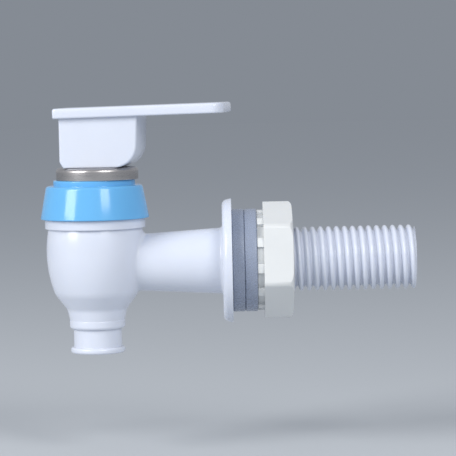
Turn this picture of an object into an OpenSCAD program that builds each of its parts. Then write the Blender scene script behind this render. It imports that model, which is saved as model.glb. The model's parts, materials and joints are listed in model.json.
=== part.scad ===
// Reverse osmosis tap with a lift-cam lever, sized for an M16 tank hole.
// Millimetres. The origin is where the shank's axis meets the flange's back face:
// +X runs along the shank into the tank, +Z is up towards the lever.

/* [Shank] */
// Outside diameter of the thread
thread_d = 16; // [12:0.5:20]
// Thread pitch
thread_pitch = 2; // [1.5:0.25:3]
// Depth of the thread
thread_depth = 1.15; // [0.8:0.05:1.4]
// Shank length from the flange's back face to its cut end
shank_len = 45.6; // [35:0.5:70]
// Bore of the water way
inlet_d = 9; // [6:0.25:10]

/* [Flange and barrel] */
// Flange diameter at its back face
flange_d = 31; // [28:0.5:40]
// Flange thickness
flange_t = 2.4; // [1.8:0.1:4]
// Rounding of the flange's front rim
flange_round = 3; // [1:0.25:3.5]
// Barrel diameter beside the flange
barrel_d_flange = 16.5; // [15:0.25:20]
// Barrel diameter beside the bulb
barrel_d_bulb = 14.3; // [13:0.1:16]
// Distance from the flange's back face to the valve axis
valve_reach = 34; // [28:0.5:50]

/* [Valve body] */
// Largest diameter of the bulb
bulb_d = 24.54; // [23:0.25:30]
// Height of the bulb's widest place above the shank's axis
bulb_mid_z = 3; // [1:0.25:4]
// Radius of the bulb's side in profile
bulb_curve = 30; // [24:1:60]
// Diameter of the rim band under the bonnet
rim_d = 25; // [24:0.25:30]
// Height of the rim band
rim_h = 2.4; // [1:0.1:3]
// Height of the bonnet's seat above the shank's axis
rim_top_z = 11.3; // [10.5:0.1:14]
// Diameter of the neck inside the bonnet
neck_d = 21; // [19.5:0.1:21.2]
// Height of the neck above the rim band
neck_h = 5.2; // [4:0.1:6]
// Bore of the valve chamber
chamber_d = 16.4; // [15.6:0.1:17]
// Depth of the chamber's floor below the shank's axis
chamber_floor = 6.5; // [6:0.1:7]
// Height of the valve seat's lip above the floor
seat_lip_h = 1.05; // [0.6:0.05:1.4]
// Width of the valve seat's lip
seat_lip_w = 0.9; // [0.6:0.05:1.2]

/* [Spout] */
// Bore of the outlet
outlet_d = 8.4; // [6:0.2:9]
// Depth of the spout's mouth below the shank's axis
spout_depth = 22.25; // [20:0.25:40]
// Diameter of the spout's tube
spout_d = 12; // [11:0.1:13]
// Diameter of the lip round the mouth
lip_d = 13.6; // [12.5:0.1:15]
// Height of the lip
lip_h = 1.45; // [1:0.05:2]
// Diameter of the bead above the tube
bead_d = 13.86; // [13:0.1:15]
// Height of the bead
bead_h = 2; // [1.5:0.1:2.5]
// Depth of the bead's lower edge below the shank's axis
bead_depth = 16.1; // [15:0.1:17]
// Diameter of the waist where the bulb meets the spout
waist_d = 14.9; // [14:0.1:16]
// Depth of the waist below the shank's axis
waist_depth = 11.4; // [11:0.1:12.5]
// Angle of the bulb's lower cone from upright
bulb_cone = 37; // [30:1:45]

/* [Bonnet] */
// Diameter of the bonnet at its lower edge
bonnet_d = 27.1; // [26:0.25:32]
// Diameter of the bonnet at its shoulder
bonnet_top_d = 24; // [23:0.25:27]
// Height of the bonnet from its seat to its shoulder
bonnet_h = 8.2; // [7:0.1:10]
// Diameter of the collar under the cap ring
collar_d = 20.4; // [20:0.1:21]
// Height of the collar
collar_h = 1.4; // [0.8:0.1:2]
// Diameter of the boss inside the cap ring
boss_d = 17.4; // [16:0.1:17.5]

/* [Cap ring] */
// Diameter of the pressed steel cap ring
cap_d = 20.5; // [20:0.1:22]
// Height of the cap ring
cap_h = 3.1; // [2.5:0.1:4]
// Thickness of its sheet
cap_sheet = 0.6; // [0.4:0.05:0.8]
// Hole that the stem passes through
cap_hole_d = 8.4; // [8.2:0.1:10]
// How far the loose ring lies off the valve axis, towards the barrel
cap_shift = 0.8; // [0:0.1:0.9]

/* [Stem and seat cup] */
// Diameter of the stem in its guide
stem_d = 6; // [5:0.1:6.2]
// Diameter of the stem inside the spring
stem_shank_d = 8; // [7.5:0.1:8.2]
// Free travel of the stem from the seat to its stop
stem_travel = 3.1; // [2.9:0.05:3.6]
// Diameter of the flange under the spring
stem_flange_d = 10.6; // [10:0.1:10.8]
// Thickness of the flange under the spring
stem_flange_t = 1.5; // [1:0.1:2]
// Height of the flange's upper face above the shank's axis
stem_flange_z = 2; // [1.5:0.1:3]
// Wall of the silicone seat cup
cup_wall = 0.9; // [0.7:0.05:1]
// Thickness of the seat cup's clamped rim
cup_rim_t = 1.5; // [1:0.1:2]
// Diameter of the seat cup's plug
plug_d = 12; // [11.4:0.1:12.6]

/* [Spring] */
// Wire diameter
wire_d = 1; // [0.7:0.05:1]
// Mean coil diameter
coil_d = 10; // [9.6:0.1:10.2]
// Coils that work, between one closed coil at each end
coils = 6; // [4:1:8]
// Thickness of the slip washer above the spring
slip_washer_t = 0.5; // [0.3:0.05:0.8]

/* [Lever] */
// Angle of the lever from the barrel, seen from above, as it is stored
lever_yaw = -7.7; // [-180:0.1:180]
// Length from the valve axis to the paddle's free end
paddle_reach = 33.9; // [28:0.5:45]
// Length from the valve axis to the paddle's short end
paddle_back = 8.53; // [8:0.1:12]
// Width of the paddle
paddle_w = 18; // [16:0.5:24]
// Thickness of the paddle
paddle_t = 2.5; // [2:0.1:4]
// Rise of the paddle towards its free end, in degrees
paddle_rise = 1; // [0:0.25:5]
// Plan radius of the free end's corners
paddle_corner = 3; // [1:0.25:6]
// Height of the cam block at the valve axis
block_h = 12.4; // [11.5:0.1:15]
// Width of the cam block
block_w = 15.2; // [14.5:0.1:15.8]
// Length from the valve axis to the block's short side
block_back = 7.2; // [6.8:0.1:7.8]
// Length from the valve axis to the block's long side
block_front = 12.4; // [11.8:0.1:14]
// Radius of the cam that lifts the stem
cam_r = 5.7; // [5:0.1:6]
// Length of flat sole from the valve axis to the cam
cam_flat = 6.4; // [6:0.1:6.6]
// Radius of the latch corner about the pin
latch_r = 7.95; // [7.8:0.05:8.1]
// Height of the pin above the cap ring
pin_h = 5; // [4.6:0.1:5.4]
// Diameter of the cross pin
pin_d = 3; // [2.4:0.1:3.2]
// Length of the cross pin
pin_len = 13; // [12:0.1:13.4]

/* [Sealing washers] */
// Outside diameter of the washers
washer_d = 25.6; // [23:0.1:30]
// Thickness of each washer
washer_t = 3.05; // [2:0.05:4]
// Diametral clearance of the washers and the nut on the thread
thread_slack = 0.6; // [0.4:0.05:0.8]

/* [Back nut] */
// Width across the corners of the hexagon before rounding
hex_d = 29.6; // [28:0.2:36]
// Thickness of the hexagon
hex_t = 7.5; // [5:0.1:10]
// Rounding of the hexagon's corners
hex_round = 1.5; // [0.5:0.1:3]
// Length of the toothed collar
nut_collar_t = 1.6; // [1.2:0.1:3]
// Outside diameter over the collar's teeth
nut_collar_d = 25; // [23:0.1:26]
// Number of teeth
nut_teeth = 12; // [6:6:24]
// Width of a tooth
nut_tooth_w = 2.4; // [1.5:0.1:3]
// Depth between the teeth
nut_tooth_depth = 0.8; // [0.4:0.1:1.2]
// Turn of the nut from flat-side up, in degrees
nut_turn = 9.1; // [0:0.1:60]

/* [Hidden] */
$fn = 96;

body_white = "#DCE2EF";
bonnet_blue = "#7FC1EA";
steel = "#B9B9BC";
silicone = "#A5B1C7";
nut_white = "#E6E9EC";

// Clearances: radial at the stem and pin, between sliding faces, round the spring, in a tight seat
running = 0.05;
face_gap = 0.05;
spring_gap = 0.3;
press_gap = 0.02;

// Heights of the valve stack above the shank's axis
neck_top_z = rim_top_z + neck_h;
web_z = neck_top_z + cup_rim_t;
shoulder_z = rim_top_z + bonnet_h;
collar_z = shoulder_z + collar_h;
cap_top_z = collar_z + cap_h;
boss_top_z = cap_top_z - cap_sheet;
pin_z = cap_top_z + face_gap + pin_h;
stem_shoulder_z = web_z - stem_travel;
seat_z = -chamber_floor + seat_lip_h;
cup_floor_z = stem_flange_z - stem_flange_t - face_gap;
cup_bore_r = coil_d / 2 + wire_d / 2 + spring_gap;
slip_washer_z = web_z - face_gap - slip_washer_t;

// The knob that holds the stem in the seat cup: neck radius, knob radius, neck length, knob length
knob = [2, 2.8, 1.7, 2.1];

// Room in the cam block round the stem, and the wall left at its short side
pocket_gap = 0.9;
pocket_wall = 2;
slot_gap = 0.4;
stem_top = 3.4;
pocket_top = 4.6;
snap_lip = 0.2;

// Thread proportions: place along one pitch and share of the depth
thread_form = [[0, 0], [0.16, 0], [0.42, 0.9], [0.58, 1], [0.74, 0.9]];
thread_steps = 24;
thread_start = 0.8;
thread_relief = 0.15;
thread_root_r = thread_d / 2 - thread_depth;

// The washers and the nut along the shank
outer_washer_x = washer_t + face_gap;
nut_x = outer_washer_x + washer_t + face_gap;
hex_x = nut_x + nut_collar_t;
nut_end_x = hex_x + hex_t;
washer_bore_r = (thread_d + thread_slack) / 2;

// Points of an arc
function arc(c, r, from, to, n = 12) =
    [for (i = [0:n]) let (a = from + (to - from) * i / n) c + r * [cos(a), sin(a)]];

function unit(v) = v / norm(v);

// Share of a side that a rounding may take, given the rounding at the side's other end
function share(other) = other[2] > 0 ? 0.49 : 0.98;

// One corner b between a and c, replaced by an arc of radius r where the sides allow it
function corner(a, b, c, r, room_a, room_c, n) =
    let (u = unit(a - b), v = unit(c - b), half = acos(max(-1, min(1, u * v))) / 2,
         reach = min(r / tan(half), room_a * norm(a - b), room_c * norm(c - b)),
         fit = reach * tan(half), mid = b + unit(u + v) * fit / sin(half),
         p = (b + u * reach - mid) / fit, q = (b + v * reach - mid) / fit, turn = 180 - 2 * half)
    [for (i = [0:n]) let (a1 = turn * i / n)
        mid + fit * (sin(turn - a1) * p + sin(a1) * q) / sin(turn)];

// Closed outline with each [x, y, radius] corner rounded
function rounded(pts, n = 6) =
    [for (i = [0:len(pts) - 1]) let (p = pts[i], m = len(pts),
        a = pts[(i + m - 1) % m], c = pts[(i + 1) % m], b = [p[0], p[1]])
        each (p[2] > 0 ? corner([a[0], a[1]], b, [c[0], c[1]], p[2], share(a), share(c), n) : [b])];

module at_valve() translate([-valve_reach, 0, 0]) children();
module at_lever() translate([-valve_reach, 0, pin_z]) rotate([0, 0, lever_yaw]) children();
module along_x() rotate([0, 90, 0]) children();
module turned(outline) rotate_extrude() polygon(outline);

// Helical rod along +Z: one skewed grid of rings, with its ends capped from the axis
module helix_rod(root_r, depth, pitch, z0, z1) {
    m = len(thread_form);
    first = floor(z0 / pitch) - 2;
    turns = ceil(z1 / pitch) + 1 - first;
    per_ring = turns * m + 1;
    ring = [for (k = [0:thread_steps - 1], j = [0:per_ring - 1])
        let (a = 360 * k / thread_steps, f = thread_form[j % m], r = root_r + depth * f[1],
             z = pitch * (first + floor(j / m) + f[0] + k / thread_steps))
        [r * cos(a), r * sin(a), z]];
    last = thread_steps - 1;
    centre0 = len(ring);
    centre1 = centre0 + 1;
    ends = [[0, 0, pitch * (first + 0.5)], [0, 0, pitch * (first + turns + 0.5)]];
    function at(k, j) = k * per_ring + j;
    sides = [for (k = [0:last - 1], j = [0:per_ring - 2])
        each [[at(k, j), at(k, j + 1), at(k + 1, j + 1)], [at(k, j), at(k + 1, j + 1), at(k + 1, j)]]];
    seam = [for (j = [0:per_ring - 2 - m])
        each [[at(last, j), at(last, j + 1), at(0, j + m + 1)], [at(last, j), at(0, j + m + 1), at(0, j + m)]]];
    low = concat([for (k = [0:last - 1]) [centre0, at(k, 0), at(k + 1, 0)]],
        [[centre0, at(last, 0), at(0, m)]], [for (j = [0:m - 1]) [centre0, at(0, j + 1), at(0, j)]]);
    high = concat([for (k = [0:last - 1]) [centre1, at(k + 1, per_ring - 1), at(k, per_ring - 1)]],
        [[centre1, at(0, per_ring - 1), at(last, per_ring - 1 - m)]],
        [for (j = [per_ring - 1 - m:per_ring - 2]) [centre1, at(last, j), at(last, j + 1)]]);
    intersection() {
        polyhedron(points = concat(ring, ends), faces = concat(sides, seam, low, high));
        translate([0, 0, z0]) cylinder(r = root_r + depth + 2, h = z1 - z0);
    }
}

// The whole outside of the valve body, turned about the valve axis
function body_outline() =
    let (r = bulb_d / 2, top = rim_top_z - rim_h, mid = [r - bulb_curve, bulb_mid_z],
         a_top = asin((top - bulb_mid_z) / bulb_curve), a_low = -bulb_cone / 2,
         side = arc(mid, bulb_curve, a_top, a_low, 16), end = side[16], drop = -waist_depth,
         lean = tan(-a_low), cone = tan(bulb_cone),
         knee_z = (waist_d / 2 - drop * cone - end[0] + end[1] * lean) / (lean - cone),
         knee = waist_d / 2 + (knee_z - drop) * cone)
    concat([[0, neck_top_z], [neck_d / 2, neck_top_z], [neck_d / 2, rim_top_z], [rim_d / 2, rim_top_z],
            [rim_d / 2, top]], side,
        rounded([[end[0], end[1], 0], [knee, knee_z, 6], [waist_d / 2, drop, 2.5],
                 [waist_d / 2 - 0.6, -bead_depth + bead_h, 0], [bead_d / 2, -bead_depth + bead_h, 0.5],
                 [bead_d / 2, -bead_depth, 0.8], [spout_d / 2, -bead_depth - 0.2, 0],
                 [spout_d / 2, -spout_depth + lip_h, 0], [lip_d / 2, -spout_depth + lip_h, 0.6],
                 [lip_d / 2, -spout_depth, 0.5], [0, -spout_depth, 0]]));

module barrel_and_flange() along_x() turned(rounded([
    [0, -valve_reach + 4, 0],
    [barrel_d_bulb / 2 - 0.5, -valve_reach + 4, 0],
    [barrel_d_flange / 2, -flange_t, 0.8],
    [flange_d / 2 - 0.5, -flange_t, flange_round],
    [flange_d / 2, 0, 0],
    [thread_root_r - thread_relief, 0, 0],
    [thread_root_r - thread_relief, 2 * thread_start, 0],
    [0, 2 * thread_start, 0]]));

module tap_body() color(body_white) difference() {
    union() {
        at_valve() turned(body_outline());
        barrel_and_flange();
        along_x() helix_rod(thread_root_r, thread_depth, thread_pitch, thread_start, shank_len);
    }
    at_valve() {
        turned([[0, neck_top_z + 1], [chamber_d / 2, neck_top_z + 1], [chamber_d / 2, -chamber_floor],
            [outlet_d / 2 + seat_lip_w, -chamber_floor], [outlet_d / 2 + seat_lip_w, seat_z],
            [outlet_d / 2, seat_z], [outlet_d / 2, -spout_depth + 0.5],
            [outlet_d / 2 + 0.6, -spout_depth - 0.1], [0, -spout_depth - 0.1]]);
    }
    translate([-valve_reach, 0, 0]) along_x() cylinder(d = inlet_d, h = valve_reach + shank_len + 1);
}

module bonnet() color(bonnet_blue) at_valve() turned(rounded([
    [neck_d / 2 + running, rim_top_z, 0], [bonnet_d / 2, rim_top_z, 0.2],
    [bonnet_top_d / 2, shoulder_z, 0.8], [collar_d / 2, shoulder_z, 0], [collar_d / 2, collar_z, 0.2],
    [boss_d / 2, collar_z, 0], [boss_d / 2, boss_top_z, 0.4], [stem_d / 2 + running, boss_top_z, 0],
    [stem_d / 2 + running, web_z, 0], [neck_d / 2 + running, web_z, 0]]));

module cap_ring() color(steel) translate([cap_shift, 0, 0]) at_valve() turned(rounded([
    [cap_hole_d / 2, boss_top_z, 0], [cap_hole_d / 2, cap_top_z, 0.2], [cap_d / 2, cap_top_z, 1],
    [cap_d / 2, collar_z, 0.15], [cap_d / 2 - cap_sheet, collar_z, 0.15],
    [cap_d / 2 - cap_sheet, boss_top_z, 0.4]]));

module seat_cup() color(silicone) at_valve() {
    neck_r = knob[0] + face_gap;
    knob_r = knob[1] + face_gap;
    ledge = cup_floor_z - knob[2];
    turned(rounded([[0, seat_z + face_gap, 0], [plug_d / 2, seat_z + face_gap, 0.6],
        [cup_bore_r + cup_wall, cup_floor_z - 1, 1], [cup_bore_r + cup_wall + 0.2, neck_top_z, 0.5],
        [neck_d / 2 - 0.1, neck_top_z, 0], [neck_d / 2 - 0.1, web_z, 0], [cup_bore_r + 0.2, web_z, 0],
        [cup_bore_r, cup_floor_z, 0.5], [neck_r, cup_floor_z, 0], [neck_r, ledge, 0],
        [knob_r, ledge, 0], [knob_r, ledge - knob[3], 0], [0, ledge - knob[3], 0]]));
}

module spring_washer() color(steel) at_valve() translate([0, 0, slip_washer_z]) difference() {
    cylinder(r = cup_bore_r - 0.2, h = slip_washer_t);
    translate([0, 0, -1]) cylinder(r = stem_shank_d / 2 + 0.25, h = slip_washer_t + 2);
}

// Compression spring: a tube swept along a helix with one closed coil at each end
module spring() {
    sides = 8;
    steps = 16;
    low = stem_flange_z + face_gap + wire_d / 2;
    high = slip_washer_z - face_gap - wire_d / 2;
    closed = 1.05 * wire_d;
    open = (high - low - 2 * closed) / coils;
    function height(t) = low + closed * min(t, 1) + open * max(0, min(t - 1, coils))
        + closed * max(0, t - 1 - coils);
    rings = (coils + 2) * steps;
    pts = [for (i = [0:rings], k = [0:sides - 1])
        let (a = 360 * i / steps, b = 360 * (k + 0.5) / sides, r = (coil_d + wire_d * cos(b)) / 2)
        [r * cos(a), r * sin(a), height(i / steps) + wire_d / 2 * sin(b)]];
    skin = [for (i = [0:rings - 1], k = [0:sides - 1])
        let (a = i * sides + k, b = i * sides + (k + 1) % sides)
        each [[a, b, b + sides], [a, b + sides, a + sides]]];
    faces = concat(skin, [[for (k = [sides - 1:-1:0]) k]], [[for (k = [0:sides - 1]) rings * sides + k]]);
    color(steel) at_valve() polyhedron(points = pts, faces = faces);
}

module stem() color(body_white) difference() {
    at_valve() turned(rounded([
        [0, cup_floor_z - knob[2] - knob[3] + face_gap, 0],
        [knob[1], cup_floor_z - knob[2] - knob[3] + face_gap, 0.4],
        [knob[1], cup_floor_z - knob[2] - face_gap, 0],
        [knob[0], cup_floor_z - knob[2] - face_gap, 0],
        [knob[0], stem_flange_z - stem_flange_t, 0],
        [stem_flange_d / 2, stem_flange_z - stem_flange_t, 0.2],
        [stem_flange_d / 2, stem_flange_z, 0.2],
        [stem_shank_d / 2, stem_flange_z, 0],
        [stem_shank_d / 2, stem_shoulder_z, 0.3],
        [stem_d / 2, stem_shoulder_z, 0],
        [stem_d / 2, pin_z + stem_top, 1.2],
        [0, pin_z + stem_top, 0]]));
    at_lever() rotate([90, 0, 0]) cylinder(d = pin_d + 2 * press_gap, h = stem_d + 2, center = true);
}

module cross_pin() color(steel) at_lever() rotate([90, 0, 0])
    cylinder(d = pin_d, h = pin_len, center = true);

// Side view of the cam block, with the pin at its origin
function block_outline() =
    let (top = block_h - pin_h + paddle_t / 2, cam = [cam_flat, cam_r - pin_h],
         to_top = [block_front, block_h - pin_h] - cam,
         side = atan2(to_top[1], to_top[0]) - acos(cam_r / norm(to_top)))
    concat([[-block_back, top]],
        arc([0, 0], latch_r, 180 + acos(block_back / latch_r), 180 + asin(pin_h / latch_r), 4),
        arc(cam, cam_r, -90, side, 16),
        [[block_front, block_h - pin_h], [block_front, top]]);

module paddle() translate([0, 0, block_h - pin_h]) rotate([0, -paddle_rise, 0]) intersection() {
    linear_extrude(paddle_t) polygon(rounded([
        [-paddle_back, -paddle_w / 2, 0.8], [paddle_reach, -paddle_w / 2, paddle_corner],
        [paddle_reach, paddle_w / 2, paddle_corner], [-paddle_back, paddle_w / 2, 0.8]], 12));
    rotate([90, 0, 0]) linear_extrude(paddle_w + 2, center = true) polygon(rounded([
        [-paddle_back, 0, 0.4], [paddle_reach, 0, 0.5], [paddle_reach, paddle_t, 0.6],
        [-paddle_back, paddle_t, 0.6]]));
    translate([-paddle_back - 1, 0, 0]) rotate([90, 0, 90]) linear_extrude(paddle_back + paddle_reach + 2)
        polygon(rounded([[-paddle_w / 2, 0, 0.4], [paddle_w / 2, 0, 0.4],
            [paddle_w / 2, paddle_t, 0.6], [-paddle_w / 2, paddle_t, 0.6]]));
}

module lever() color(body_white) at_lever() {
    pocket_r = stem_d / 2 + pocket_gap;
    slot_r = stem_d / 2 + slot_gap;
    inner_back = block_back - pocket_wall;
    difference() {
        union() {
            rotate([90, 0, 0]) linear_extrude(block_w, center = true) polygon(block_outline());
            paddle();
        }
        translate([-inner_back, -pocket_r, -pin_h - 1])
            cube([inner_back + cam_flat - 0.1, 2 * pocket_r, pin_h + 1 + pocket_top]);
        translate([-block_back - 1, -slot_r, -pin_h - 1]) cube([pocket_wall + 2, 2 * slot_r, pin_h + 1]);
        translate([-block_back - 1, 0, 0]) rotate([0, 90, 0]) cylinder(r = slot_r, h = pocket_wall + 2);
        rotate([90, 0, 0]) cylinder(r = pin_d / 2 + running, h = pin_len + 2 * slot_gap, center = true);
        translate([-pin_d / 2 + snap_lip, -pin_len / 2 - slot_gap, -pin_h - 1])
            cube([pin_d - 2 * snap_lip, pin_len + 2 * slot_gap, pin_h + 1]);
    }
}

module washer(x) color(silicone) translate([x, 0, 0]) along_x() turned(rounded([
    [washer_bore_r, 0, 0.2], [washer_d / 2, 0, 0.4], [washer_d / 2, washer_t, 0.4],
    [washer_bore_r, washer_t, 0.2]]));

module inner_washer() washer(0);
module outer_washer() washer(outer_washer_x);

// Collar with its ring of teeth, from the washer to the hexagon
module nut_collar() {
    root_r = nut_collar_d / 2 - nut_tooth_depth;
    relief = 0.3;
    cylinder(r = root_r, h = nut_collar_t + 1);
    intersection() {
        cylinder(d = nut_collar_d, h = nut_collar_t - relief);
        for (k = [0:nut_teeth - 1]) rotate([0, 0, 360 * (k + 0.5) / nut_teeth])
            translate([root_r - 1, -nut_tooth_w / 2, 0]) cube([nut_tooth_depth + 2, nut_tooth_w, nut_collar_t]);
    }
}

// Hexagon with round corners and a domed outer face
module nut_hexagon() intersection() {
    linear_extrude(hex_t) polygon(rounded(
        [for (k = [0:5]) [hex_d / 2 * cos(60 * k), hex_d / 2 * sin(60 * k), hex_round]]));
    turned(rounded([[0, 0, 0], [hex_d / 2 - 0.1, 0, 0], [hex_d / 2 - 0.1, hex_t - 0.4, 1.5],
        [thread_d / 2 + 0.9, hex_t, 0], [0, hex_t, 0]]));
}

module back_nut() color(nut_white) along_x() difference() {
    rotate([0, 0, -nut_turn]) translate([0, 0, nut_x]) {
        nut_collar();
        translate([0, 0, nut_collar_t]) nut_hexagon();
    }
    helix_rod(thread_root_r + thread_slack / 2, thread_depth, thread_pitch, nut_x - 1, nut_end_x + 1);
    for (z = [nut_x, nut_end_x]) translate([0, 0, z]) rotate([z > nut_x ? 180 : 0, 0, 0])
        translate([0, 0, -1]) cylinder(r1 = thread_d / 2 + 1.7, r2 = thread_d / 2 - 0.3, h = 2);
}

tap_body();
bonnet();
cap_ring();
seat_cup();
spring_washer();
spring();
stem();
cross_pin();
lever();
inner_washer();
outer_washer();
back_nut();
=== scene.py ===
"""Looks of the reverse osmosis tap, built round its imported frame.

Sizes are in millimetres and the same as in the part's source; meshes are turned to metres when
a piece is finished. The frame's axes are +X along the shank into the tank and +Z up towards the
lever, and its origin is where the shank's axis meets the flange's back face.
"""

import json
import logging
import math
from collections.abc import Sequence
from dataclasses import dataclass, field
from enum import Enum
from typing import Any

import bmesh
import bpy
import numpy as np
from mathutils import Matrix, Quaternion, Vector

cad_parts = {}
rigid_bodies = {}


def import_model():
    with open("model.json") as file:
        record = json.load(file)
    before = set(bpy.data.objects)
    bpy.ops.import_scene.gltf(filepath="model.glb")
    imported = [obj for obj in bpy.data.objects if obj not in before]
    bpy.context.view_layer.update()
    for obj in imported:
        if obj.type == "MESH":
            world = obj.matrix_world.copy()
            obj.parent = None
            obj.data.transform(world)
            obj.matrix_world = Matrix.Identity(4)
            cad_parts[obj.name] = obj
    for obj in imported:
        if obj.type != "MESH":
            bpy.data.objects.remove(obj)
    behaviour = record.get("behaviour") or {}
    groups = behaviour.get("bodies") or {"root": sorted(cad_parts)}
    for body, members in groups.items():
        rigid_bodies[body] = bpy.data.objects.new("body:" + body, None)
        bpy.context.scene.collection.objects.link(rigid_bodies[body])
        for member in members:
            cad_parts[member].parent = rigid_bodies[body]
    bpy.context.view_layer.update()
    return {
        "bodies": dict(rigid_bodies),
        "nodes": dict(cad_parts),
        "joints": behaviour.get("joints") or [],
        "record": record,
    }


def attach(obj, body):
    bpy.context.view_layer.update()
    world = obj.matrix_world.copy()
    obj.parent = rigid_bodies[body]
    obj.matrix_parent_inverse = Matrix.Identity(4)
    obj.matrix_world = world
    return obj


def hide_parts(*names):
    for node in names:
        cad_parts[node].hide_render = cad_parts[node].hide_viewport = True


LOG = logging.getLogger("tap")

MM = 0.001
PHOTO_SIDE_PX = 456

# How far a cutter runs past what it cuts, in millimetres.
OVER = 1.0

Point = tuple[float, float]


class Join(Enum):
    """The ways one solid is worked into another, by Blender's own names."""

    ADD = "UNION"
    CUT = "DIFFERENCE"
    KEEP_SHARED = "INTERSECT"


class Along(Enum):
    """The axes that a turned piece can have, as the matrix that lays +Z along them."""

    VALVE = Matrix.Identity(4)
    SHANK = Matrix.Rotation(math.radians(90), 4, "Y")


@dataclass(frozen=True)
class Corner:
    """One corner of a profile and the radius that rounds it, in millimetres."""

    u: float
    v: float
    r: float = 0.0


# Colour and nodes


def linear(colour: str) -> tuple[float, float, float, float]:
    """Turns an sRGB hex colour to linear light.

    Args:
        colour: the colour as "#RRGGBB".

    Returns:
        Red, green, blue and alpha for a shader socket.
    """
    parts = [int(colour[i : i + 2], 16) / 255 for i in (1, 3, 5)]
    red, green, blue = (
        c / 12.92 if c <= 0.04045 else ((c + 0.055) / 1.055) ** 2.4 for c in parts
    )
    return red, green, blue, 1.0


def add_node(
    tree: bpy.types.NodeTree,
    kind: str,
    settings: dict[str | int, Any] | None = None,
    links: dict[str | int, bpy.types.NodeSocket] | None = None,
) -> bpy.types.Node:
    """Adds one node with its settings and the links that come into it.

    Args:
        tree: the node tree that takes the node.
        kind: Blender's name for the type of node.
        settings: values by the name or number of an input, or by the name of a property.
        links: sockets of earlier nodes by the name or number of the input they feed.

    Returns:
        The new node.
    """
    node = tree.nodes.new(kind)
    for key, value in (settings or {}).items():
        if isinstance(key, int) or key in node.inputs:
            node.inputs[key].default_value = value
        else:
            setattr(node, key, value)
    for key, source in (links or {}).items():
        tree.links.new(source, node.inputs[key])
    return node


def new_material(name: str) -> tuple[bpy.types.Material, bpy.types.NodeTree]:
    """Makes an empty node material.

    Args:
        name: the material's name.

    Returns:
        The material and its node tree, with no nodes in it.
    """
    material = bpy.data.materials.new(name)
    material.use_nodes = True
    material.node_tree.nodes.clear()
    return material, material.node_tree


def per_metre(size_mm: float) -> float:
    """Scale of a noise pattern whose features are size_mm across."""
    return 1.0 / (size_mm * MM)


def noise(
    tree: bpy.types.NodeTree,
    where: bpy.types.NodeSocket,
    size_mm: float,
    detail: float,
    roughness: float,
) -> bpy.types.Node:
    """Adds a noise pattern.

    Args:
        tree: the node tree that takes it.
        where: the place that it is worked out at.
        size_mm: how far its features are across.
        detail: how many finer layers it has.
        roughness: how strong those layers are.

    Returns:
        The noise node.
    """
    settings = {"Scale": per_metre(size_mm), "Detail": detail, "Roughness": roughness}
    return add_node(tree, "ShaderNodeTexNoise", settings, {"Vector": where})


def uneven_gloss(
    tree: bpy.types.NodeTree, pattern: bpy.types.Node, gloss: float, dull: float
) -> bpy.types.Node:
    """Adds a roughness that follows a pattern.

    Args:
        tree: the node tree that takes it.
        pattern: the noise that it follows.
        gloss: the roughness where the noise is low.
        dull: the roughness where it is high.

    Returns:
        The node that gives the roughness.
    """
    settings = {"From Min": 0.3, "From Max": 0.7, "To Min": gloss, "To Max": dull}
    return add_node(tree, "ShaderNodeMapRange", settings, {"Value": pattern.outputs["Fac"]})


def two_tone(
    tree: bpy.types.NodeTree, pattern: bpy.types.Node, colour: str, other: str
) -> bpy.types.Node:
    """Adds a colour that drifts between two tones.

    Args:
        tree: the node tree that takes it.
        pattern: the noise that it follows.
        colour: the tone where the noise is low, as "#RRGGBB".
        other: the tone where it is high.

    Returns:
        The node that gives the colour.
    """
    settings = {"data_type": "RGBA", 6: linear(colour), 7: linear(other)}
    return add_node(tree, "ShaderNodeMix", settings, {0: pattern.outputs["Fac"]})


# Finishes


@dataclass(frozen=True)
class MouldedPlastic:
    """A thermoplastic injection moulded in a polished steel tool.

    The eye gets a soft gloss with small ripples in it, where the skin has sunk a little over
    the melt's flow, and slightly deeper colour where the wall is thick.
    """

    name: str
    colour: str
    deep: str
    gloss: float
    dull: float
    ior: float
    glow: float
    glow_mm: float
    cloud_mm: float = 9.0
    peel_mm: float = 1.6
    peel_height_mm: float = 0.004
    edge_mm: float = 0.25

    def material(self) -> bpy.types.Material:
        """Builds the shader.

        Returns:
            The finished material.
        """
        made, tree = new_material(self.name)
        place = add_node(tree, "ShaderNodeTexCoord")
        cloud = noise(tree, place.outputs["Object"], self.cloud_mm, 2.0, 0.5)
        tint = two_tone(tree, cloud, self.colour, self.deep)
        peel = noise(tree, place.outputs["Object"], self.peel_mm, 3.0, 0.55)
        shine = uneven_gloss(tree, peel, self.gloss, self.dull)
        edge = add_node(tree, "ShaderNodeBevel", {"samples": 6, "Radius": self.edge_mm * MM})
        ripple = add_node(
            tree,
            "ShaderNodeBump",
            {"Strength": 1.0, "Distance": self.peel_height_mm * MM},
            {"Height": peel.outputs["Fac"], "Normal": edge.outputs["Normal"]},
        )
        skin = add_node(
            tree,
            "ShaderNodeBsdfPrincipled",
            {
                "IOR": self.ior,
                "Subsurface Weight": self.glow,
                "Subsurface Radius": (0.9, 1.0, 1.2),
                "Subsurface Scale": self.glow_mm * MM,
            },
            {
                "Base Color": tint.outputs[2],
                "Roughness": shine.outputs["Result"],
                "Normal": ripple.outputs["Normal"],
            },
        )
        add_node(tree, "ShaderNodeOutputMaterial", {}, {"Surface": skin.outputs["BSDF"]})
        return made


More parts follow.
